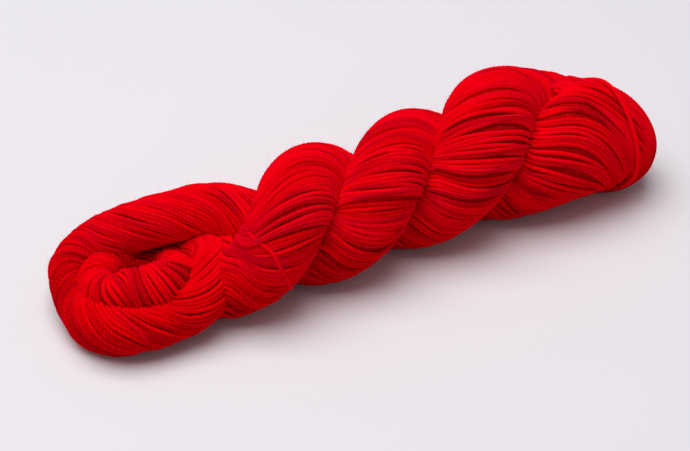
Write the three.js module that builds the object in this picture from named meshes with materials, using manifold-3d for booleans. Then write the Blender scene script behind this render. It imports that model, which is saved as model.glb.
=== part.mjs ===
// A hank of soft two-ply yarn, twisted on itself and laid on a flat surface.
// Two legs wind round each other along X and fold over at the right end. At the left end
// one leg opens into a ring, and the end of the other leg is tucked up through it.
// Millimetres, +Z up, the surface at Z = 0, the origin under the middle of the outline.
import * as THREE from "three";
import { mergeVertices } from "three/addons/utils/BufferGeometryUtils.js";
import Module from "manifold-3d";

const yarnRadius = 0.8;
const stepLength = 3.8;
const legSides = 24;
const ringSides = 20;
const outlineMiddle = new THREE.Vector2(-0.4, 3.2);
const yarnRed = 0xb8000e;

// The two legs run from their ends under the ring to the fold, where both round off.
const firstLegEnd = -64;
const secondLegEnd = -36;
const foldFillingEnd = 70;
const foldStart = 91;
const endReach = 18;
const endSteps = 6;
// Where the first leg lies at half turn 0, as an angle about X from +Y toward +Z.
const startAngle = THREE.MathUtils.degToRad(226);

// The twist along X: its axis' height and sway, a leg's radius and how much wider it is
// across, how far a leg's centre lies from the axis, and the half turns wound so far.
const twistColumns = ["x", "height", "sway", "leg", "width", "spread", "halfTurns"];
const twistRows = [
  [-92, 21.0, 0, 11.0, 1.05, 10.5, -1.1],
  [-54, 22.6, 0, 12.0, 1.05, 11.2, 0],
  [-19, 23.2, 0, 12.7, 1.05, 11.3, 1],
  [18, 23.4, 0, 12.7, 1.05, 11.1, 2],
  [42, 25.0, 0, 14.6, 1.08, 12.5, 2.62],
  [57, 25.2, -0.5, 14.5, 1.12, 12.3, 3],
  [70, 23.8, -3, 14.8, 1.3, 11.3, 3.25],
  [84, 21.0, -6, 13.8, 1.42, 9, 3.46],
  [96, 16.8, -10, 11.8, 1.32, 6.8, 3.64],
  [106, 13.4, -14, 10.4, 1.15, 5.4, 3.77],
  [115, 11.5, -17, 9.8, 1, 4.6, 3.88],
];

// The ring's far half, which the second leg runs on into: over the top, round the left
// side and under the near half. The places are x, y and z, then the bundle's radius.
const ringFarRows = [
  [-44, 11.5, 23, 10],
  [-52, 15.5, 26, 9.3],
  [-63, 18, 27, 8.6],
  [-74, 20.5, 26, 8.4],
  [-83.5, 24.5, 22.5, 8.2],
  [-92, 28, 17.5, 7.8],
  [-100, 26, 13, 7.2],
  [-103, 18.5, 10, 6.8],
  [-104, 10, 8, 6.6],
  [-103, 1, 6.5, 6.3],
  [-98.5, -4.5, 6, 6],
  [-92, -8.5, 6, 5.5],
];

// The ring's near half, from under the tucked end along the front into the pinch.
const ringNearRows = [
  [-94, 12.5, 11, 5],
  [-101, 7.5, 12, 6.3],
  [-102, 1, 12, 7.2],
  [-98, -6, 11, 7.8],
  [-89, -10, 10.5, 7.6],
  [-79.5, -10.5, 11, 7.7],
  [-70.5, -10, 13.5, 8.3],
  [-64, -6.5, 16.5, 8.2],
  [-60, 0, 18, 7.6],
  [-60, 6, 18, 6.6],
  [-63, 9, 16, 5.6],
  [-66.5, 10, 13, 4.6],
];

// The first leg's end, which runs on under the ring.
const tailRows = [
  [-50, 1.5, 12.5, 11.5],
  [-62, 10, 10.5, 10.5],
  [-72, 16, 9.5, 9.5],
  [-82, 18.5, 9, 9],
  [-91, 16, 9, 8],
];

// The end tucked up through the ring, curled inside it.
const tuckedRows = [
  [-77, 19, 10, 4.5],
  [-83, 19.5, 14.5, 5.2],
  [-90.5, 17, 17, 5.8],
  [-96, 13.5, 17, 6.2],
  [-97.5, 6.5, 17, 6.4],
  [-95, 2, 17.5, 6.8],
  [-89, 0.5, 18, 7.8],
  [-83.5, -2, 18.5, 8],
  [-77.5, -2, 19, 7.8],
  [-73.5, 0, 19, 6.6],
  [-71.5, 5, 17.5, 5.2],
  [-73, 11, 15.5, 4.4],
  [-76, 13, 14, 3.5],
];

// The strand tied round the folded end crosses the twist at tieAt. Its route, in y and z,
// lies over both legs from the front to the back and ends under the hank.
const tieAt = 91;
const tieRoute = [
  [-18.6, 2.8],
  [-20.7, 4.8],
  [-29.3, 17.5],
  [-29.8, 21],
  [-28.9, 26.3],
  [-24.7, 33.9],
  [-19.3, 39.2],
  [-14.9, 41.6],
  [-10.1, 42.8],
  [-5.3, 42.5],
  [-1.1, 41],
  [2.9, 38.6],
  [6.5, 36.2],
  [10.5, 34.4],
  [14.1, 32.4],
  [17.2, 28.4],
  [18.4, 23],
  [17.9, 17.8],
  [16.6, 13.8],
  [12.7, 7.1],
  [7, 2.2],
];
const tieSteps = 72;
const tieSides = 8;

// A smooth curve through rows of numbers: each column keeps its slope across a row.
class Stations {
  constructor(places, rows) {
    this.places = places;
    this.rows = rows;
    const last = rows.length - 1;
    const rise = (i, column) =>
      (rows[i + 1][column] - rows[i][column]) / (places[i + 1] - places[i]);
    this.slopes = rows.map((row, i) =>
      row.map((value, column) => {
        if (i === 0) return rise(0, column);
        if (i === last) return rise(last - 1, column);
        const before = places[i] - places[i - 1];
        const after = places[i + 1] - places[i];
        return (rise(i - 1, column) * after + rise(i, column) * before) / (before + after);
      }),
    );
  }

  at(place) {
    let i = 0;
    while (i < this.places.length - 2 && place > this.places[i + 1]) i += 1;
    const span = this.places[i + 1] - this.places[i];
    const t = THREE.MathUtils.clamp((place - this.places[i]) / span, 0, 1);
    const weights = [
      (1 + 2 * t) * (1 - t) ** 2,
      t * (1 - t) ** 2 * span,
      t * t * (3 - 2 * t),
      t * t * (t - 1) * span,
    ];
    return this.rows[i].map((value, column) =>
      weights[0] * value +
      weights[1] * this.slopes[i][column] +
      weights[2] * this.rows[i + 1][column] +
      weights[3] * this.slopes[i + 1][column],
    );
  }
}

function geometryOf(points, triangles) {
  const positions = new Float32Array(points.flatMap((p) => [p.x, p.y, p.z]));
  return new THREE.BufferGeometry()
    .setAttribute("position", new THREE.BufferAttribute(positions, 3))
    .setIndex(triangles);
}

// A closed tube through rings of points, capped at both ends.
function loft(rings) {
  const sides = rings[0].length;
  const points = rings.flat();
  const triangles = [];
  for (let i = 0; i < rings.length - 1; i += 1) {
    for (let j = 0; j < sides; j += 1) {
      const a = i * sides + j;
      const b = i * sides + ((j + 1) % sides);
      triangles.push(a, b, b + sides, a, b + sides, a + sides);
    }
  }
  for (const [ring, start, flip] of [
    [rings[0], 0, true],
    [rings.at(-1), points.length - sides, false],
  ]) {
    const centre = ring.reduce((sum, p) => sum.add(p), new THREE.Vector3()).divideScalar(sides);
    points.push(centre);
    for (let j = 0; j < sides; j += 1) {
      const a = start + j;
      const b = start + ((j + 1) % sides);
      triangles.push(...(flip ? [b, a] : [a, b]), points.length - 1);
    }
  }
  return geometryOf(points, triangles);
}

// An oval bundle through { centre, out, depth, width } stations. A station with no out of
// its own carries on the one before it, without twist.
function bundle(path, sides) {
  let carried = new THREE.Vector3(0, 0, 1);
  const rings = path.map((station, i) => {
    const before = path[Math.max(i - 1, 0)].centre;
    const after = path[Math.min(i + 1, path.length - 1)].centre;
    const along = after.clone().sub(before).normalize();
    const hint = station.out ?? carried;
    const out = hint.clone().addScaledVector(along, -hint.dot(along)).normalize();
    const across = along.clone().cross(out);
    carried = out;
    return Array.from({ length: sides }, (_, j) => {
      const angle = (j / sides) * 2 * Math.PI;
      return station.centre
        .clone()
        .addScaledVector(out, station.depth * Math.cos(angle))
        .addScaledVector(across, station.width * Math.sin(angle));
    });
  });
  return loft(rings);
}

// A station on a leg of the twist: side is 1 for the first leg, -1 for the second, and
// 0 for the filling between their ends.
const twist = new Stations(twistRows.map((row) => row[0]), twistRows);

function legStation(x, side, scale = 1) {
  const values = twist.at(x);
  const at = Object.fromEntries(twistColumns.map((column, i) => [column, values[i]]));
  const angle = startAngle - Math.PI * at.halfTurns;
  const radial = new THREE.Vector3(0, Math.cos(angle), Math.sin(angle));
  return {
    centre: new THREE.Vector3(x, at.sway, at.height).addScaledVector(radial, side * at.spread),
    out: radial,
    depth: at.leg * scale,
    width: at.leg * at.width * scale,
  };
}

// Stations along a leg from its rounded end at the fold back to a place on X.
function legPath(end, side) {
  const path = [];
  for (let i = endSteps - 1; i > 0; i -= 1) {
    const angle = (0.5 * Math.PI * i) / endSteps;
    path.push(legStation(foldStart + endReach * Math.sin(angle), side, Math.cos(angle)));
  }
  const steps = Math.round(((foldStart - end) * Math.SQRT2) / stepLength);
  for (let i = 0; i <= steps; i += 1) {
    path.push(legStation(foldStart + ((end - foldStart) * i) / steps, side));
  }
  return path;
}

// Stations of a round bundle through rows of x, y, z and radius, from row first on.
function roundPath(rows, first = 0) {
  const places = [0];
  for (let i = 1; i < rows.length; i += 1) {
    const step = [0, 1, 2].map((axis) => rows[i][axis] - rows[i - 1][axis]);
    places.push(places[i - 1] + Math.hypot(...step));
  }
  const stations = new Stations(places, rows);
  const length = places.at(-1) - places[first];
  const count = Math.round(length / stepLength);
  return Array.from({ length: count + 1 }, (_, i) => {
    const [x, y, z, radius] = stations.at(places[first] + (length * i) / count);
    return { centre: new THREE.Vector3(x, y, z), depth: radius, width: radius };
  });
}

// The second leg and the ring's far half are one bundle: the leg's last two stations give
// the ring its start and direction.
function secondLegAndRing() {
  const leg = legPath(secondLegEnd, -1);
  const leadIn = [secondLegEnd + 8, secondLegEnd].map((x) => {
    const { centre, depth } = legStation(x, -1);
    return [...centre.toArray(), depth];
  });
  return [...leg, ...roundPath([...leadIn, ...ringFarRows], 1).slice(1)];
}

const wasm = await Module();
wasm.setup();

function solidOf(geometry) {
  geometry.deleteAttribute("normal");
  geometry.deleteAttribute("uv");
  const merged = mergeVertices(geometry, 1e-4);
  return new wasm.Manifold(
    new wasm.Mesh({
      numProp: 3,
      vertProperties: merged.attributes.position.array,
      triVerts: new Uint32Array(merged.index.array),
    }),
  );
}

function geometryFrom(solid) {
  const mesh = solid.getMesh();
  return new THREE.BufferGeometry()
    .setAttribute("position", new THREE.BufferAttribute(mesh.vertProperties, 3))
    .setIndex(new THREE.BufferAttribute(mesh.triVerts, 1));
}

// Everything above the surface, so that the hank rests on flat spots.
function aboveSurface() {
  const reach = 400;
  const block = new THREE.BoxGeometry(reach, reach, reach);
  block.translate(0, 0, reach / 2);
  return solidOf(block);
}

function skein() {
  const bundles = [
    bundle(legPath(firstLegEnd, 1), legSides),
    bundle(secondLegAndRing(), legSides),
    bundle(legPath(foldFillingEnd, 0), legSides),
    bundle(roundPath(tailRows), ringSides),
    bundle(roundPath(tuckedRows), ringSides),
    bundle(roundPath(ringNearRows), ringSides),
  ];
  const whole = bundles.map(solidOf).reduce((joined, next) => joined.add(next));
  return geometryFrom(whole.intersect(aboveSurface()));
}

function tieStrand() {
  const route = new THREE.CatmullRomCurve3(
    tieRoute.map(([y, z]) => new THREE.Vector3(tieAt, y, z)),
  );
  const section = Array.from({ length: tieSides }, (_, i) => {
    const angle = (i / tieSides) * 2 * Math.PI;
    return new THREE.Vector2(yarnRadius * Math.cos(angle), yarnRadius * Math.sin(angle));
  });
  return new THREE.ExtrudeGeometry(new THREE.Shape(section), {
    steps: tieSteps,
    extrudePath: route,
  });
}

const material = new THREE.MeshStandardMaterial({
  color: yarnRed,
  roughness: 0.95,
  metalness: 0,
});

const group = new THREE.Group();
const pieces = { skein: skein(), tie_strand: tieStrand() };
for (const [name, geometry] of Object.entries(pieces)) {
  const mesh = new THREE.Mesh(geometry, material);
  mesh.name = name;
  group.add(mesh);
}
group.position.set(-outlineMiddle.x, -outlineMiddle.y, 0);

export default group;
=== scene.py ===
from math import cos, pi, radians, sin

import bmesh
import bpy
import numpy as np
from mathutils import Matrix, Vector
from mathutils.bvhtree import BVHTree


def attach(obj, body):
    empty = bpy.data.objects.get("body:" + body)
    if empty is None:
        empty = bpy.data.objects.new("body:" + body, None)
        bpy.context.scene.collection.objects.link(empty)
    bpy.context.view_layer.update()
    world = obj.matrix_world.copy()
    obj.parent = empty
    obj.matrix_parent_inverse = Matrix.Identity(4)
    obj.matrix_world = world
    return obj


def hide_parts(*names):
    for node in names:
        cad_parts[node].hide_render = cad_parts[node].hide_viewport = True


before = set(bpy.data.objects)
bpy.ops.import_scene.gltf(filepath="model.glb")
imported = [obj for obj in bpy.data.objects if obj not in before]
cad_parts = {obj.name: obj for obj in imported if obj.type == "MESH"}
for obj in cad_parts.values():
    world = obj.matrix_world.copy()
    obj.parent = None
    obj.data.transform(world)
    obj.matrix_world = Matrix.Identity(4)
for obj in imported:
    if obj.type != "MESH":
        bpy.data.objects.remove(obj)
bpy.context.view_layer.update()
mm = 0.001
random = np.random.default_rng(11)

# The middle of the hank's outline in the tables' places, which is over the part's origin
outlineMiddle = np.array([-0.4, 3.2, 0.0])


# Camera, at the photograph's angle
view = {
    "target": (-12.4, -4.5, 17.9),
    "azimuth": -29.5,
    "elevation": 40,
    "distance": 620,
    "focalLength": 95.43,
}


def makeCamera():
    turn, tip = radians(view["azimuth"]), radians(view["elevation"])
    back = Vector((sin(turn) * cos(tip), -cos(turn) * cos(tip), sin(tip)))
    camera = bpy.data.objects.new("camera", bpy.data.cameras.new("camera"))
    camera.data.lens = view["focalLength"]
    target = Vector(np.array(view["target"]) - outlineMiddle)
    camera.location = (target + back * view["distance"]) * mm
    camera.rotation_euler = (-back).to_track_quat("-Z", "Y").to_euler()
    bpy.context.collection.objects.link(camera)
    bpy.context.scene.camera = camera


makeCamera()
print("camera made")


# Shader maths: a socket that can be added, multiplied and so on
class Wire:
    def __init__(self, tree, output=None):
        self.tree = tree
        self.output = output

    def node(self, kind, settings=None, sockets=None, out=0):
        made = self.tree.nodes.new(kind)
        for name, value in (settings or {}).items():
            if name == "stops":
                ramp = made.color_ramp
                while len(ramp.elements) < len(value):
                    ramp.elements.new(1.0)
                for element, (place, colour) in zip(ramp.elements, value):
                    element.position = place
                    element.color = (*colour, 1)
            else:
                setattr(made, name, value)
        for name, value in (sockets or {}).items():
            if isinstance(value, Wire):
                self.tree.links.new(value.output, made.inputs[name])
            else:
                made.inputs[name].default_value = value
        return Wire(self.tree, made.outputs[out])

    def maths(self, operation, first, second):
        return self.node("ShaderNodeMath", {"operation": operation}, {0: first, 1: second})

    def __add__(self, other):
        return self.maths("ADD", self, other)

    def __radd__(self, other):
        return self.maths("ADD", other, self)

    def __sub__(self, other):
        return self.maths("SUBTRACT", self, other)

    def __rsub__(self, other):
        return self.maths("SUBTRACT", other, self)

    def __mul__(self, other):
        return self.maths("MULTIPLY", self, other)

    def __rmul__(self, other):
        return self.maths("MULTIPLY", other, self)


def newMaterial(name, constants):
    material = bpy.data.materials.new(name)
    material.use_nodes = True
    shader = material.node_tree.nodes["Principled BSDF"]
    for socket, value in constants.items():
        shader.inputs[socket].default_value = value
    return material, shader, Wire(material.node_tree)


def connect(wire, socket):
    wire.tree.links.new(wire.output, socket)


# The dyed yarn: a deep red, paler where the fibres stand up to the light. That paleness is a painted
# highlight, and the ramp's dark end is painted shade
dyeAndPaintedLight = {
    "paintedShadeRed": (0.22, 0.0, 0.0),
    "body": (0.85, 0.0, 0.003),
    "paintedHighlightRed": (0.96, 0.0, 0.019),
    "roughness": 0.9,
    "cloudScale": 90.0,
    "cloudTone": 0.2,
    "fibresAlong": 0.9,  # fibre streaks in a millimetre of yarn
    "fibresRound": 7 / 3,
    "fibresApart": 7.0,  # from one strand's streaks to the next one's
    "fibreTone": 0.4,
    "bump": 0.45,
    "bumpHeight": 0.15,
    # painted shade in the groove between the plies
    "plyGrooveShade": 0.09,
}


def yarnMaterial():
    material, shader, wire = newMaterial("yarn", {
        "Roughness": dyeAndPaintedLight["roughness"],
        "Specular IOR Level": 0.0,
        "Sheen Weight": 0.4,
        "Sheen Roughness": 0.4,
        "Sheen Tint": (1.0, 0.0, 0.04, 1),
        "Subsurface Weight": 0.6,
        "Subsurface Radius": (1.0, 0.02, 0.05),
        "Subsurface Scale": 2.0 * mm,
    })
    place = wire.node("ShaderNodeTexCoord", out="Object")
    cloud = wire.node(
        "ShaderNodeTexNoise", {}, {"Vector": place, "Scale": dyeAndPaintedLight["cloudScale"], "Detail": 2.0}
    )
    lay = wire.node("ShaderNodeAttribute", {"attribute_name": "lay"}, out="Vector")
    streaks = wire.node("ShaderNodeTexNoise", {}, {"Vector": lay, "Scale": 1.0, "Detail": 3.0})
    tone = wire.node("ShaderNodeAttribute", {"attribute_name": "tone"}, out="Fac")
    # The tone attribute carries painted shade and painted highlight besides each strand's own tone;
    # the ramp turns them into darker and paler red
    toneAndPaintedLightMask = tone + (cloud - 0.5) * dyeAndPaintedLight["cloudTone"] + (streaks - 0.5) * dyeAndPaintedLight["fibreTone"]
    colour = wire.node(
        "ShaderNodeValToRGB",
        {"stops": [(0.0, dyeAndPaintedLight["paintedShadeRed"]), (0.5, dyeAndPaintedLight["body"]), (1.0, dyeAndPaintedLight["paintedHighlightRed"])]},
        {"Fac": toneAndPaintedLightMask},
    )
    connect(colour, shader.inputs["Base Color"])
    bump = wire.node("ShaderNodeBump", {}, {
        "Height": streaks,
        "Strength": dyeAndPaintedLight["bump"],
        "Distance": dyeAndPaintedLight["bumpHeight"] * mm,
    })
    connect(bump, shader.inputs["Normal"])
    return material


# The same dye on the inner turns, painted darker as painted shade for lying in the strands' shade
innerDyePaintedShade = {
    "dark": (0.28, 0.0, 0.0),
    "light": (0.50, 0.0, 0.001),
    "cloudScale": 700.0,
    "bump": 0.8,
    "bumpHeight": 0.5,
}


def innerMaterial():
    material, shader, wire = newMaterial("innerYarn", {
        "Roughness": 0.95,
        "Specular IOR Level": 0.05,
    })
    place = wire.node("ShaderNodeTexCoord", out="Object")
    cloud = wire.node(
        "ShaderNodeTexNoise", {}, {"Vector": place, "Scale": innerDyePaintedShade["cloudScale"], "Detail": 2.0}
    )
    colour = wire.node(
        "ShaderNodeValToRGB",
        {"stops": [(0.3, innerDyePaintedShade["dark"]), (0.7, innerDyePaintedShade["light"])]},
        {"Fac": cloud},
    )
    connect(colour, shader.inputs["Base Color"])
    bump = wire.node("ShaderNodeBump", {}, {
        "Height": cloud,
        "Strength": innerDyePaintedShade["bump"],
        "Distance": innerDyePaintedShade["bumpHeight"] * mm,
    })
    connect(bump, shader.inputs["Normal"])
    return material


yarn = yarnMaterial()
innerYarn = innerMaterial()
print("materials made")


# Bundles of yarn, in millimetres
def throughRows(places, rows, at):
    # a smooth curve through the rows, with each row's slope taken from its neighbours
    places, rows = np.asarray(places, float), np.asarray(rows, float)
    slopes = np.gradient(rows, places, axis=0)
    i = np.clip(np.searchsorted(places, at) - 1, 0, len(places) - 2)
    span = (places[i + 1] - places[i])[:, None]
    t = np.clip((at - places[i])[:, None] / span, 0, 1)
    return (
        (1 + 2 * t) * (1 - t) ** 2 * rows[i]
        + t * (1 - t) ** 2 * span * slopes[i]
        + t * t * (3 - 2 * t) * rows[i + 1]
        + t * t * (t - 1) * span * slopes[i + 1]
    )


def unit(vectors):
    return vectors / np.linalg.norm(vectors, axis=-1, keepdims=True)


def lengthsAlong(points):
    steps = np.linalg.norm(np.diff(points, axis=0), axis=1)
    return np.concatenate([[0], np.cumsum(steps)])


# Where the legs' strands gather: length along the bundle, angle round it in degrees, how far
# that reaches in millimetres and in radians, and how strongly it draws them along and round
legGathers = [
    (26, 273, 20, 1.1, 0.72, 0.3),
    (39, 300, 7, 0.6, 0.15, 0.15),
    (121, 272, 8, 0.7, 0.45, 0.45),
    (133, 266, 8, 0.7, 0.45, 0.45),
    (275, 84, 12, 0.9, 0.45, 0.45),
    (355.5, 90, 8, 0.7, 0.45, 0.45),
    (370, 90, 11, 0.9, 0.55, 0.55),
]


class Bundle:
    # an oval bundle along a path, with its strands winding about it
    def __init__(self, path, out, depth, width, winding, gathers=()):
        self.path = path
        self.gathers = gathers
        self.along = lengthsAlong(path)
        tangent = unit(np.gradient(path, self.along, axis=0))
        self.out = unit(out - (out * tangent).sum(1)[:, None] * tangent)
        self.across = np.cross(tangent, self.out)
        self.depth, self.width = depth, width
        steps = np.diff(self.along)
        self.turned = np.concatenate([[0], np.cumsum((winding[1:] + winding[:-1]) / 2 * steps)])

    def read(self, column, at):
        if column.ndim == 1:
            return np.interp(at, self.along, column)
        return np.stack([np.interp(at, self.along, column[:, k]) for k in range(3)], -1)

    def gathered(self, at, angle):
        # strands draw together toward the places where the hank squeezes them
        for along, around, reach, span, pullAlong, pullRound in self.gathers:
            aside = (angle - radians(around) + pi) % (2 * pi) - pi
            near = np.exp(-(((at - along) / reach) ** 2) - (aside / span) ** 2)
            at = at - pullAlong * near * (at - along)
            angle = angle - pullRound * near * aside
        return at, angle

    def surface(self, at, angle, lift):
        # a point at a length along, an angle round and a height over the bundle's surface
        out = self.read(self.out, at) * ((self.read(self.depth, at) + lift) * np.cos(angle))[:, None]
        across = self.read(self.across, at)
        across = across * ((self.read(self.width, at) + lift) * np.sin(angle))[:, None]
        return self.read(self.path, at) + out + across


# The twist along X, as in the part, with the strands' winding on a leg in radians a millimetre
twist = {
    "columns": ["x", "height", "sway", "leg", "width", "spread", "halfTurns", "winding"],
    "rows": [
        [-92, 21.0, 0, 11.0, 1.05, 10.5, -1.1, 0.07],
        [-54, 22.6, 0, 12.0, 1.05, 11.2, 0, 0.17],
        [-19, 23.2, 0, 12.7, 1.05, 11.3, 1, 0.22],
        [18, 23.4, 0, 12.7, 1.05, 11.1, 2, 0.21],
        [42, 25.0, 0, 14.6, 1.08, 12.5, 2.62, 0.20],
        [57, 25.2, -0.5, 14.5, 1.12, 12.3, 3, 0.19],
        [70, 23.8, -3, 14.8, 1.3, 11.3, 3.25, 0.17],
        [84, 21.0, -6, 13.8, 1.42, 9, 3.46, 0.15],
        [96, 16.8, -10, 11.8, 1.32, 6.8, 3.64, 0.13],
        [106, 13.4, -14, 10.4, 1.15, 5.4, 3.77, 0.11],
        [115, 11.5, -17, 9.8, 1, 4.6, 3.88, 0.10],
    ],
    "startAngle": 226,
    "firstLegEnd": -64,
    "secondLegEnd": -36,
    "leadIn": 8,  # how far before its end the second leg starts to pass into the ring
    "foldStart": 91,
    "foldReach": 7,
    "foldSteps": 24,
    "fillingStart": 70,
    "fillingReach": 5,
    "ringWidth": 1.03,
}
stationStep = 1.0

# Round bundles: x, y, z, radius, and the winding
ringFar = [
    [-44, 11.5, 23, 10, 0.12],
    [-52, 15.5, 26, 9.3, 0.09],
    [-63, 18, 27, 8.6, 0.09],
    [-74, 20.5, 26, 8.4, 0.1],
    [-83.5, 24.5, 22.5, 8.2, 0.12],
    [-92, 28, 17.5, 7.8, 0.18],
    [-100, 26, 13, 7.2, 0.24],
    [-103, 18.5, 10, 6.8, 0.26],
    [-104, 10, 8, 6.6, 0.22],
    [-103, 1, 6.5, 6.3, 0.16],
    [-98.5, -4.5, 6, 6, 0.12],
    [-92, -8.5, 6, 5.5, 0.1],
]
ringNear = [
    [-94, 12.5, 11, 5, 0.1],
    [-101, 7.5, 12, 6.3, 0.1],
    [-102, 1, 12, 7.2, 0.1],
    [-98, -6, 11, 7.8, 0.1],
    [-89, -10, 10.5, 7.6, 0.13],
    [-79.5, -10.5, 11, 7.7, 0.1],
    [-70.5, -10, 13.5, 8.3, 0.05],
    [-64, -6.5, 16.5, 8.2, 0.06],
    [-60, 0, 18, 7.6, 0.12],
    [-60, 6, 18, 6.6, 0.15],
    [-63, 9, 16, 5.6, 0.16],
    [-66.5, 10, 13, 4.6, 0.16],
]
tail = [
    [-50, 1.5, 12.5, 11.5, 0.05],
    [-62, 10, 10.5, 10.5, 0.05],
    [-72, 16, 9.5, 9.5, 0.05],
    [-82, 18.5, 9, 9, 0.05],
    [-91, 16, 9, 8, 0.05],
]
tucked = [
    [-77, 19, 10, 4.5, 0.66],
    [-83, 19.5, 14.5, 5.2, 0.66],
    [-90.5, 17, 17, 5.8, 0.63],
    [-96, 13.5, 17, 6.2, 0.61],
    [-97.5, 6.5, 17, 6.4, 0.61],
    [-95, 2, 17.5, 6.8, 0.61],
    [-89, 0.5, 18, 7.8, 0.63],
    [-83.5, -2, 18.5, 8, 0.65],
    [-77.5, -2, 19, 7.8, 0.66],
    [-73.5, 0, 19, 6.6, 0.68],
    [-71.5, 5, 17.5, 5.2, 0.72],
    [-73, 11, 15.5, 4.4, 0.76],
    [-76, 13, 14, 3.5, 0.76],
]
ringMiddle = np.array([-78, 4, 8])


def legStations(x, side, foldward):
    # side runs from 1 on the first leg to -1 on the second, through 0 in the fold
    rows = np.array(twist["rows"])
    at = dict(zip(twist["columns"], throughRows(rows[:, 0], rows, x).T))
    angle = radians(twist["startAngle"]) - pi * at["halfTurns"]
    reach = side * at["spread"]
    path = np.stack([x, at["sway"] + reach * np.cos(angle), at["height"] + reach * np.sin(angle)], -1)
    out = np.stack([foldward, side * np.cos(angle), side * np.sin(angle)], -1)
    return path, out, at["leg"], at["leg"] * at["width"], at["winding"]


def carried(path, start):
    # the outward direction carried along a path without turning about it
    tangents = unit(np.gradient(path, axis=0))
    out = [start]
    for tangent in tangents[1:]:
        out.append(unit(out[-1] - (out[-1] @ tangent) * tangent))
    return np.array(out)


def legsAndRing():
    # leg one from the left, round the fold, leg two back and on over the ring
    onLeg = np.arange(twist["firstLegEnd"], twist["foldStart"], stationStep)
    fold = np.linspace(pi / 2, -pi / 2, twist["foldSteps"] + 1)[1:-1]
    back = np.arange(twist["foldStart"], twist["secondLegEnd"], -stationStep)
    x = np.concatenate([onLeg, twist["foldStart"] + twist["foldReach"] * np.cos(fold), back])
    side = np.concatenate([np.ones_like(onLeg), np.sin(fold), -np.ones_like(back)])
    foldward = np.concatenate([0 * onLeg, np.cos(fold), 0 * back])
    path, out, depth, width, winding = legStations(x, side, foldward)
    leadIn = np.array([twist["secondLegEnd"] + twist["leadIn"], twist["secondLegEnd"]], float)
    start = legStations(leadIn, -np.ones(2), np.zeros(2))
    rows = np.vstack([np.column_stack([start[0], start[2], start[4]]), ringFar])
    places = lengthsAlong(rows[:, :3])
    ring = throughRows(places, rows, np.arange(places[1], places[-1], stationStep))
    return Bundle(
        np.vstack([path, ring[:, :3]]),
        np.vstack([out, carried(ring[:, :3], out[-1])]),
        np.concatenate([depth, ring[:, 3]]),
        np.concatenate([width, ring[:, 3] * twist["ringWidth"]]),
        np.concatenate([winding, ring[:, 4]]),
        legGathers,
    )


def foldFilling():
    # what lies between the two legs' ends at the fold
    x = np.arange(twist["fillingStart"], twist["foldStart"] + twist["fillingReach"], stationStep)
    path, out, depth, width, winding = legStations(x, np.zeros(len(x)), np.zeros(len(x)))
    across = legStations(x, np.ones(len(x)), np.zeros(len(x)))[1]
    return Bundle(path, across, depth, width, winding)


def roundBundle(rows):
    rows = np.array(rows)
    places = lengthsAlong(rows[:, :3])
    made = throughRows(places, rows, np.arange(0, places[-1], stationStep))
    out = unit(made[:, :3] - ringMiddle) + np.array([0, 0, 1])
    return Bundle(made[:, :3], out, made[:, 3], made[:, 3], made[:, 4])


# The yarn as it lies in a bundle
strand = {
    "halfWidth": 0.86,
    "halfHeight": 0.66,
    "shoulder": 0.5,  # as a share of the half width
    "radiusScatter": 0.04,
    "plyPitch": 3.0,
    "step": 0.5,
    "lie": -0.70,  # of its middle over the bundle's surface
    "spacingScatter": 0.15,  # as a share of the spacing
    "clump": 6,  # strands in a clump
    "clumpShift": 0.7,
    "clumpLift": 0.10,
    "ownLift": 0.07,
    "liftLengths": (47, 23),
    "sway": 0.9,
    "swayLengths": (61, 34, 19),
    "wander": 0.030,
    "wanderLengths": (53, 29),
    "layerSpan": 0.6,
    "hiddenDepth": 2.4,  # deeper than this inside the hank it isn't made
    "shortestRun": 8,  # steps
    "floorGap": 0.9,
}

# How the tone changes from strand to strand and along one: each strand's own random tone, with painted
# highlight where it rises or lies high and painted shade in the creases and low down
shade = {
    "usual": 0.56,
    "own": 0.04,
    "rise": 0.15,  # a millimetre over the usual height
    "crease": 0.5,  # a millimetre of depth
    "creaseDepth": 2,
    "height": 0.016,  # a millimetre, from the middle height
    "middleHeight": 24,
    "highest": 3,
}

# Steps between layers: the strands' label in degrees, where along the legs, how far that
# reaches, and the height
layers = [
    (347, 38, 22, -0.45),
    (61, 360, 22, 0.6),
    (42, 150, 25, 0.45),
    (200, 140, 30, -0.35),
    (330, 262, 20, 0.3),
    (190, 300, 30, 0.3),
    (150, 85, 30, -0.4),
]

surfaceTree = BVHTree.FromObject(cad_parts["skein"], bpy.context.evaluated_depsgraph_get())


def waves(at, lengths, strength):
    # slow drift along a strand
    total = 0 * at
    for length in lengths:
        total = total + np.sin(2 * pi * at / length + random.uniform(0, 2 * pi)) * strength
    return total / len(lengths)


def layerLift(at, label):
    # the step between two layers of strands: raised on one side, sunk on the other
    total = 0 * at
    for around, along, reach, height in layers:
        aside = (label - radians(around) + pi) % (2 * pi) - pi
        fade = np.exp(-(((at - along) / reach) ** 2) - abs(aside) / strand["layerSpan"])
        total = total + height * np.sign(aside) * fade
    return total


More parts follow.
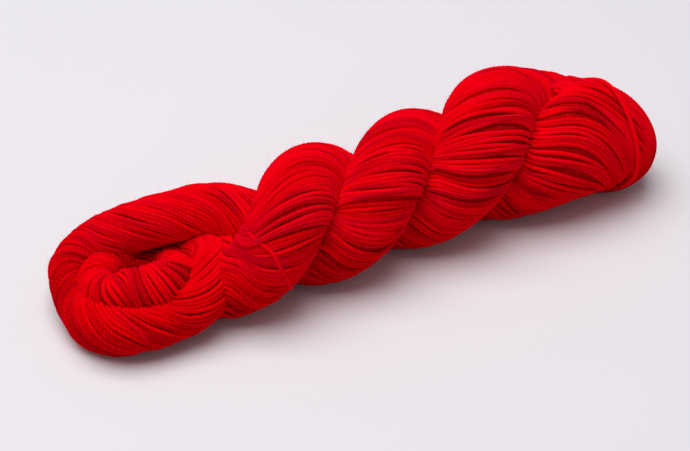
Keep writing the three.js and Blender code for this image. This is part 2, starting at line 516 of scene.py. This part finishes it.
def strandLine(bundle, label, lift, layered):
    # the strand's points at even steps, in metres, with how far its height is from the usual
    rough = np.arange(0, bundle.along[-1], stationStep)
    sway = waves(rough, strand["swayLengths"], strand["sway"])
    rise = lift + waves(rough, strand["liftLengths"], strand["ownLift"])
    if layered:
        rise = rise + layerLift(rough, label)
    wander = waves(rough, strand["wanderLengths"], strand["wander"])
    at, angles = bundle.gathered(rough + sway, label + bundle.read(bundle.turned, rough) + wander)
    at = np.clip(at, 0, bundle.along[-1])
    points = bundle.surface(at, angles, strand["lie"] + rise)
    lengths = lengthsAlong(points)
    even = np.arange(0, lengths[-1], strand["step"])
    fine = np.interp(even, lengths, rough)
    places = throughRows(rough, np.column_stack([at, angles, rise]), fine)
    points = bundle.surface(places[:, 0], places[:, 1], strand["lie"] + places[:, 2])
    points[:, 2] = np.maximum(points[:, 2], strand["floorGap"])
    return (points - outlineMiddle) * mm, places[:, 2]


def depthInside(points):
    # how far each point lies inside the hank's surface, in millimetres, and 0 outside it
    depths = np.zeros(len(points))
    for i, point in enumerate(points):
        spot, normal, _, distance = surfaceTree.find_nearest(Vector(point))
        if (Vector(point) - spot).dot(normal) < 0:
            depths[i] = distance / mm
    return depths


# The ring's slit, whose strands lie deep and get painted shade to look dark
slit = {"ends": [(-77, 16), (-47, 11)], "reach": 5.5, "top": 23.0, "fade": 6.0, "shade": 0.4}


def slitShade(points):
    # how much painted shade each point gets for lying near the slit's line and under its top
    spots = points / mm + outlineMiddle
    start, end = np.array(slit["ends"], float)
    share = (spots[:, :2] - start) @ (end - start) / ((end - start) @ (end - start))
    nearest = start + np.clip(share, 0, 1)[:, None] * (end - start)
    away = np.linalg.norm(spots[:, :2] - nearest, axis=1)
    sunk = np.clip((slit["top"] - spots[:, 2]) / slit["fade"], 0, 1)
    return slit["shade"] * sunk * np.exp(-((away / slit["reach"]) ** 2))


def toneAlong(points, rise, depths):
    # lighter where a strand stands up or lies high (painted highlight), darker in the creases, in the
    # ring's slit and low down (painted shade)
    tone = shade["usual"] + rise * shade["rise"] + random.normal() * shade["own"]
    creased = np.clip(depths + strand["lie"], 0, shade["creaseDepth"])
    raised = np.minimum(points[:, 2] / mm - shade["middleHeight"], shade["highest"])
    return tone - shade["crease"] * creased - slitShade(points) + shade["height"] * raised


def runsOf(flags, shortest):
    # the stretches of a strand that show
    edges = np.flatnonzero(np.diff(np.concatenate([[0], flags.astype(int), [0]])))
    return [(a, b) for a, b in zip(edges[::2], edges[1::2]) if b - a >= shortest]


def plyProfile():
    # two plies side by side, as the closed outline of the yarn's section
    width, height = strand["halfWidth"], strand["halfHeight"]
    shoulder = width * strand["shoulder"]
    corners = [
        (width, 0), (shoulder, -height), (-shoulder, -height),
        (-width, 0), (-shoulder, height), (shoulder, height),
    ]
    return closedOutline("plyProfile", corners)


def closedOutline(name, corners):
    curve = bpy.data.curves.new(name, "CURVE")
    curve.dimensions = "2D"
    curve.fill_mode = "NONE"
    spline = curve.splines.new("POLY")
    spline.points.add(len(corners) - 1)
    for point, (x, y) in zip(spline.points, corners):
        point.co = (x * mm, y * mm, 0, 1)
    spline.use_cyclic_u = True
    outline = bpy.data.objects.new(name, curve)
    bpy.context.collection.objects.link(outline)
    return outline


def closeEnds(mesh):
    tubes = bmesh.new()
    tubes.from_mesh(mesh)
    bmesh.ops.holes_fill(tubes, edges=[edge for edge in tubes.edges if edge.is_boundary])
    tubes.to_mesh(mesh)
    tubes.free()


def sweep(name, lines, profile, material):
    # each line has its points, their tilt, radius, tone and length along, and its own number
    curve = bpy.data.curves.new(name, "CURVE")
    curve.dimensions = "3D"
    curve.bevel_mode = "OBJECT"
    curve.bevel_object = profile
    for line in lines:
        spline = curve.splines.new("POLY")
        count = len(line["points"])
        spline.points.add(count - 1)
        spline.points.foreach_set("co", np.column_stack([line["points"], np.ones(count)]).ravel())
        spline.points.foreach_set("tilt", line["tilt"])
        spline.points.foreach_set("radius", line["radius"])
        spline.use_smooth = True
    holder = bpy.data.objects.new(name + "Line", curve)
    bpy.context.collection.objects.link(holder)
    bpy.context.view_layer.update()
    graph = bpy.context.evaluated_depsgraph_get()
    mesh = bpy.data.meshes.new_from_object(holder.evaluated_get(graph), depsgraph=graph)
    bpy.data.objects.remove(holder)
    mesh.name = name
    closeEnds(mesh)
    corners = len(profile.data.splines[0].points)
    around = np.tile(np.arange(corners) / corners, sum(len(line["points"]) for line in lines))
    # painted shade in the groove between the two plies, lighter on their outer sides, added to the
    # tone
    plyGrooveShading = np.cos(4 * pi * around)
    tone = np.concatenate([np.repeat(line["tone"], corners) for line in lines])
    tone += plyGrooveShading * dyeAndPaintedLight["plyGrooveShade"]
    mesh.attributes.new("tone", "FLOAT", "POINT").data.foreach_set("value", tone)
    along = np.concatenate([np.repeat(line["along"], corners) for line in lines])
    own = np.concatenate([np.full(len(line["points"]) * corners, line["number"]) for line in lines])
    lay = np.column_stack([
        along * dyeAndPaintedLight["fibresAlong"],
        np.cos(2 * pi * around) * dyeAndPaintedLight["fibresRound"] + own * dyeAndPaintedLight["fibresApart"],
        np.sin(2 * pi * around) * dyeAndPaintedLight["fibresRound"],
    ])
    mesh.attributes.new("lay", "FLOAT_VECTOR", "POINT").data.foreach_set("vector", lay.ravel())
    mesh.materials.clear()
    mesh.materials.append(material)
    mesh.shade_smooth()
    piece = bpy.data.objects.new(name, mesh)
    bpy.context.collection.objects.link(piece)
    return piece


def place(piece, *nodes):
    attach(piece, "root")
    if nodes:
        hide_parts(*nodes)
    print(piece.name, "has", sum(len(p.vertices) - 2 for p in piece.data.polygons), "triangles")


def yarnLines(bundle, count, layered, first):
    # the strands of one bundle, cut to the stretches that show
    clumps = count / strand["clump"]
    lines = []
    for j in range(count):
        shift = random.uniform(-strand["clumpShift"], strand["clumpShift"])
        clump = np.sin(2 * pi * clumps * j / count + shift)
        lift = clump * strand["clumpLift"] + random.normal() * strand["ownLift"]
        label = 2 * pi * (j + random.normal() * strand["spacingScatter"]) / count
        points, rise = strandLine(bundle, label, lift, layered)
        depths = depthInside(points)
        tone = toneAlong(points, rise, depths)
        along = np.arange(len(points)) * strand["step"]
        tilt = 2 * pi * along / strand["plyPitch"] + random.uniform(0, pi)
        for a, b in runsOf(depths < strand["hiddenDepth"], strand["shortestRun"]):
            lines.append({
                "points": points[a:b],
                "tilt": tilt[a:b],
                "radius": np.full(b - a, 1 + random.normal() * strand["radiusScatter"]),
                "tone": tone[a:b],
                "along": along[a:b],
                "number": first + j,
            })
    return lines


profile = plyProfile()
bundles = {
    "legs": legsAndRing(),
    "filling": foldFilling(),
    "ringFront": roundBundle(ringNear),
    "tail": roundBundle(tail),
    "tuckedEnd": roundBundle(tucked),
}
strandCounts = {"legs": 36, "filling": 36, "ringFront": 30, "tail": 30, "tuckedEnd": 8}

allLines = {}
for name, bundle in bundles.items():
    allLines[name] = yarnLines(bundle, strandCounts[name], name == "legs", 100 * len(allLines))
    print(name, "has", len(allLines[name]), "stretches of strand")

# Single strands that cross the others: lengths along the bundle and angles round it
strays = [
    ("ringFront", [(20.5, 300), (22.5, 318), (26.5, 342), (29.5, 369), (32, 399), (33.5, 425)]),
    ("legs", [(31.5, 268), (31, 291), (30.5, 324), (28, 351), (25, 390), (22, 425)]),
]
stray = {
    "step": 0.05,  # of the way from one place to the next
    "ends": 0.7,  # places over which it rises and sinks again
    "lift": 0.35,
    "radius": 0.95,
    "tone": 0.62,
    "firstNumber": 800,
}


def strayLine(bundle, places, number):
    at, angles = np.array(places, float).T
    rough = np.arange(0, len(at) - 1, stray["step"])
    smooth = throughRows(np.arange(len(at)), np.column_stack([at, np.radians(angles)]), rough)
    ends = np.minimum(1, np.minimum(rough, rough[-1] - rough) / stray["ends"])
    lift = -stray["lift"] + 2 * stray["lift"] * ends
    points = bundle.surface(smooth[:, 0], smooth[:, 1], strand["lie"] + lift)
    lengths = lengthsAlong(points)
    even = np.arange(0, lengths[-1], strand["step"])
    points = np.stack([np.interp(even, lengths, points[:, k]) for k in range(3)], -1)
    points[:, 2] = np.maximum(points[:, 2], strand["floorGap"])
    return {
        "points": (points - outlineMiddle) * mm,
        "tilt": 2 * pi * even / strand["plyPitch"],
        "radius": np.full(len(even), stray["radius"]),
        "tone": np.full(len(even), stray["tone"]),
        "along": even,
        "number": number,
    }


for number, (name, places) in enumerate(strays, stray["firstNumber"]):
    allLines[name].append(strayLine(bundles[name], places, number))

pieceLimit = 190000  # triangles


def piecesOf(name, lines):
    # lines shared out over pieces that stay small enough to keep whole
    share, batch, batches = 0, [], []
    corners = len(profile.data.splines[0].points)
    for line in lines:
        size = len(line["points"]) * corners * 2
        if share + size > pieceLimit:
            batches.append(batch)
            share, batch = 0, []
        batch.append(line)
        share += size
    batches.append(batch)
    for number, batch in enumerate(batches, 1):
        place(sweep(name + "_" + str(number), batch, profile, yarn), "skein")


for name, lines in allLines.items():
    piecesOf(name, lines)


# Loose fibres that stand off the yarn
fuzz = {
    "count": 6000,
    "length": (0.8, 2.8),
    "radius": 0.036,
    "tip": 0.3,  # as a share of the radius
    "corners": 3,
    "points": 5,
    "start": 0.45,  # from the strand's middle
    "stand": 0.55,
    "standRange": (0.3, 1.6),
    "scatter": 0.35,
    "bend": 0.7,
    "deepest": 1.3,  # inside the hank's surface
    "floorGap": 0.1,
    "tone": 0.8,
    "streakLength": 2,
}


def fuzzLines(lines):
    made = []
    while len(made) < fuzz["count"]:
        line = lines[random.integers(len(lines))]
        i = random.integers(1, len(line["points"]) - 1)
        base = line["points"][i]
        spot, normal, _, distance = surfaceTree.find_nearest(Vector(base))
        if (Vector(base) - spot).dot(normal) < -fuzz["deepest"] * mm:
            continue
        normal = np.array(normal)
        tangent = unit(line["points"][i + 1] - line["points"][i - 1]) * random.choice([-1, 1])
        lifted = normal * fuzz["stand"] * random.uniform(*fuzz["standRange"])
        heading = unit(tangent + lifted + random.normal(0, fuzz["scatter"], 3))
        bend = random.normal(0, fuzz["bend"], 3)
        t = np.linspace(0, 1, fuzz["points"])[:, None]
        reach = random.uniform(*fuzz["length"]) * mm
        points = base + normal * fuzz["start"] * mm + reach * (heading * t + bend * t * t * 0.5)
        points[:, 2] = np.maximum(points[:, 2], fuzz["floorGap"] * mm)
        made.append({
            "points": points,
            "tilt": np.zeros(len(t)),
            "radius": np.linspace(1, fuzz["tip"], len(t)),
            "tone": np.full(len(t), fuzz["tone"]),
            "along": t[:, 0] * fuzz["streakLength"],
            "number": len(made),
        })
    return made


def fuzzProfile():
    angles = -2 * pi * np.arange(fuzz["corners"]) / fuzz["corners"]
    corners = np.column_stack([np.cos(angles), np.sin(angles)])
    return closedOutline("fuzzProfile", fuzz["radius"] * corners)


fibreOutline = fuzzProfile()
everyLine = [line for lines in allLines.values() for line in lines]
place(sweep("fuzz", fuzzLines(everyLine), fibreOutline, yarn), "skein")
bpy.data.objects.remove(fibreOutline)


# The inner turns, coloured in painted shade, which show dark between the strands
inner = {"shrink": 1.1, "sides": 28, "step": 1.6}


def innerTurns():
    shell = bmesh.new()
    for bundle in bundles.values():
        loops = []
        for at in np.arange(0, bundle.along[-1], inner["step"]):
            angles = 2 * pi * np.arange(inner["sides"]) / inner["sides"]
            ring = bundle.surface(np.full(inner["sides"], at), angles, -inner["shrink"])
            ring[:, 2] = np.maximum(ring[:, 2], strand["floorGap"])
            corners = [shell.verts.new((point - outlineMiddle) * mm) for point in ring]
            loops.append([shell.edges.new((a, b)) for a, b in zip(corners, corners[1:] + corners[:1])])
        for before, after in zip(loops, loops[1:]):
            bmesh.ops.bridge_loops(shell, edges=before + after)
        for end in (loops[0], loops[-1]):
            bmesh.ops.edgeloop_fill(shell, edges=end)
    bmesh.ops.recalc_face_normals(shell, faces=shell.faces)
    mesh = bpy.data.meshes.new("innerTurns")
    shell.to_mesh(mesh)
    shell.free()
    mesh.shade_smooth()
    mesh.materials.append(innerYarn)
    piece = bpy.data.objects.new("innerTurns", mesh)
    bpy.context.collection.objects.link(piece)
    return piece


place(innerTurns(), "skein")

# The strand tied round the folded end, on the part's route. Where it crosses the top, near
# settleMiddle in y and over the settleHeights, it settles a little lower onto the strands.
tie = {
    "x": 91,
    "settle": 1.0,
    "settleMiddle": 6.0,
    "settleReach": 12.0,
    "settleHeights": (20, 30),
    "radius": 0.95,
    "tone": 0.6,
    "number": 900,
    "route": [
        (-18.6, 2.8), (-20.7, 4.8), (-29.3, 17.5), (-29.8, 21), (-28.9, 26.3), (-24.7, 33.9),
        (-19.3, 39.2), (-14.9, 41.6), (-10.1, 42.8), (-5.3, 42.5), (-1.1, 41), (2.9, 38.6),
        (6.5, 36.2), (10.5, 34.4), (14.1, 32.4), (17.2, 28.4), (18.4, 23), (17.9, 17.8),
        (16.6, 13.8), (12.7, 7.1), (7, 2.2),
    ],
}


def tieLine():
    corners = np.array([(tie["x"], y, z) for y, z in tie["route"]], float)
    aside = (corners[:, 1] - tie["settleMiddle"]) / tie["settleReach"]
    low, high = tie["settleHeights"]
    top = np.clip((corners[:, 2] - low) / (high - low), 0, 1)
    corners[:, 2] -= tie["settle"] * top * np.exp(-(aside**4))
    lengths = lengthsAlong(corners)
    points = throughRows(lengths, corners, np.arange(0, lengths[-1], strand["step"]))
    along = np.arange(len(points)) * strand["step"]
    return {
        "points": (points - outlineMiddle) * mm,
        "tilt": 2 * pi * along / strand["plyPitch"],
        "radius": np.full(len(points), tie["radius"]),
        "tone": np.full(len(points), tie["tone"]),
        "along": along,
        "number": tie["number"],
    }


place(sweep("tieStrand", [tieLine()], profile, yarn), "tie_strand")
bpy.data.objects.remove(profile)


# Floor and light
studio = {
    "floorSize": 6.0,
    "floorColour": (0.77, 0.76, 0.79),
    "sky": (0.93, 0.87, 0.92),
    "skyStrength": 0.27,
    "light": {"place": (-0.20, 0.12, 1.3), "size": 1.2, "power": 18.6},
}


def makeStudio():
    bpy.ops.mesh.primitive_plane_add(size=studio["floorSize"])
    floor = bpy.context.object
    floor.name = "floor"
    floor.data.materials.append(newMaterial("paper", {
        "Base Color": (*studio["floorColour"], 1),
        "Roughness": 0.7,
        "Specular IOR Level": 0.2,
    })[0])
    light = studio["light"]
    lamp = bpy.data.objects.new("softLight", bpy.data.lights.new("softLight", "AREA"))
    lamp.data.size = light["size"]
    lamp.data.energy = light["power"]
    lamp.location = light["place"]
    lamp.rotation_euler = (-Vector(light["place"])).to_track_quat("-Z", "Y").to_euler()
    bpy.context.collection.objects.link(lamp)
    world = bpy.data.worlds.new("studio")
    world.use_nodes = True
    sky = world.node_tree.nodes["Background"]
    sky.inputs["Color"].default_value = (*studio["sky"], 1)
    sky.inputs["Strength"].default_value = studio["skyStrength"]
    bpy.context.scene.world = world
    bpy.context.scene.view_settings.view_transform = "Standard"


makeStudio()
print("studio made")
